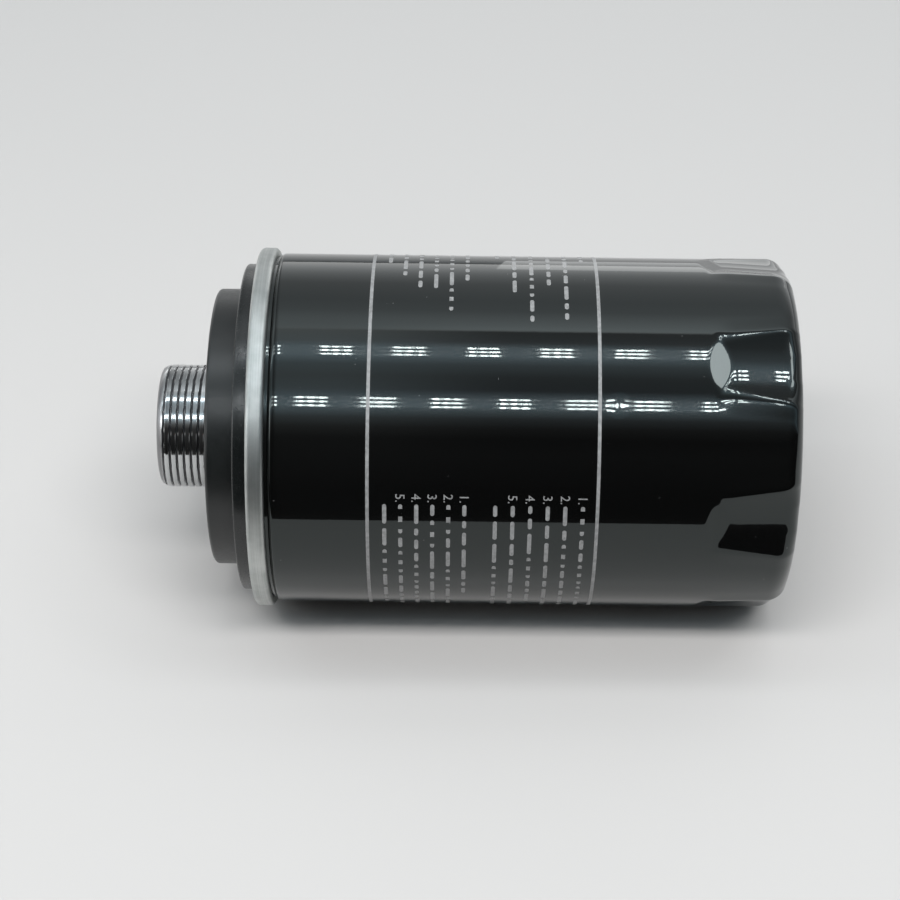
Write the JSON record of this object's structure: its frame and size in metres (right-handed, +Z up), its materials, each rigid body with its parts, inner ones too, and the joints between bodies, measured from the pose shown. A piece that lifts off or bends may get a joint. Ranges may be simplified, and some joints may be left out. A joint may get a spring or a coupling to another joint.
{
  "type": "spin-on oil filter",
  "caption": "Black spin-on canister oil filter with a hollow male threaded nipple, stepped rubber gasket, rolled zinc seam and wrench pockets round its closed end.",
  "frame": {"origin": "centre of the gasket's sealing face, on the axis of the thread", "axes": "+X along the filter's axis from the nipple to the closed end, +Z up with the filter lying on its side, +Y away from the viewer"},
  "size_m": [0.1352, 0.0782, 0.0782],
  "materials": {
    "can_paint": "gloss black stoved paint on drawn steel",
    "zinc_plated_steel": "satin zinc plating with fine rolling streaks",
    "gasket_rubber": "smooth satin moulded rubber",
    "machined_steel": "bright turned steel",
    "plate_steel": "satin pressed steel",
    "valve_nylon": "matt natural nylon",
    "spring_steel": "drawn spring wire",
    "silicone_rubber": "matt moulded silicone",
    "nitrile_rubber": "matt moulded nitrile",
    "tinned_steel": "bright tinned sheet",
    "plastisol": "matt cured adhesive",
    "filter_paper": "resin-treated pleated paper"
  },
  "bodies": {
    "filter": {"can": "can_paint", "seaming_lid": "zinc_plated_steel", "gasket": "gasket_rubber", "threaded_nipple": "machined_steel", "tapping_plate": "plate_steel", "outlet_valve_seat": "machined_steel", "outlet_valve_spring": "spring_steel", "anti_drain_valve": "silicone_rubber", "element_seal": "nitrile_rubber", "front_end_cap": "tinned_steel", "front_adhesive": "plastisol", "filter_media": "filter_paper", "media_seam_clip": "tinned_steel", "centre_tube": "tinned_steel", "rear_adhesive": "plastisol", "rear_end_cap": "tinned_steel", "bypass_cage": "tinned_steel", "bypass_spring": "spring_steel", "support_spring": "spring_steel"},
    "bypass_valve": {"bypass_poppet": "plate_steel", "bypass_seal": "nitrile_rubber"},
    "outlet_valve": {"outlet_valve_disc": "valve_nylon"}
  },
  "joints": [
    {"name": "bypass_open", "type": "slide", "parent": "filter", "child": "bypass_valve", "axis": [-1, 0, 0], "range_m": [0, 0.004], "stiffness_N_per_m": 4330, "deforming": ["bypass_spring"]},
    {"name": "outlet_open", "type": "slide", "parent": "filter", "child": "outlet_valve", "axis": [-1, 0, 0], "range_m": [0, 0.003], "stiffness_N_per_m": 158, "deforming": ["outlet_valve_spring"]}
  ]
}
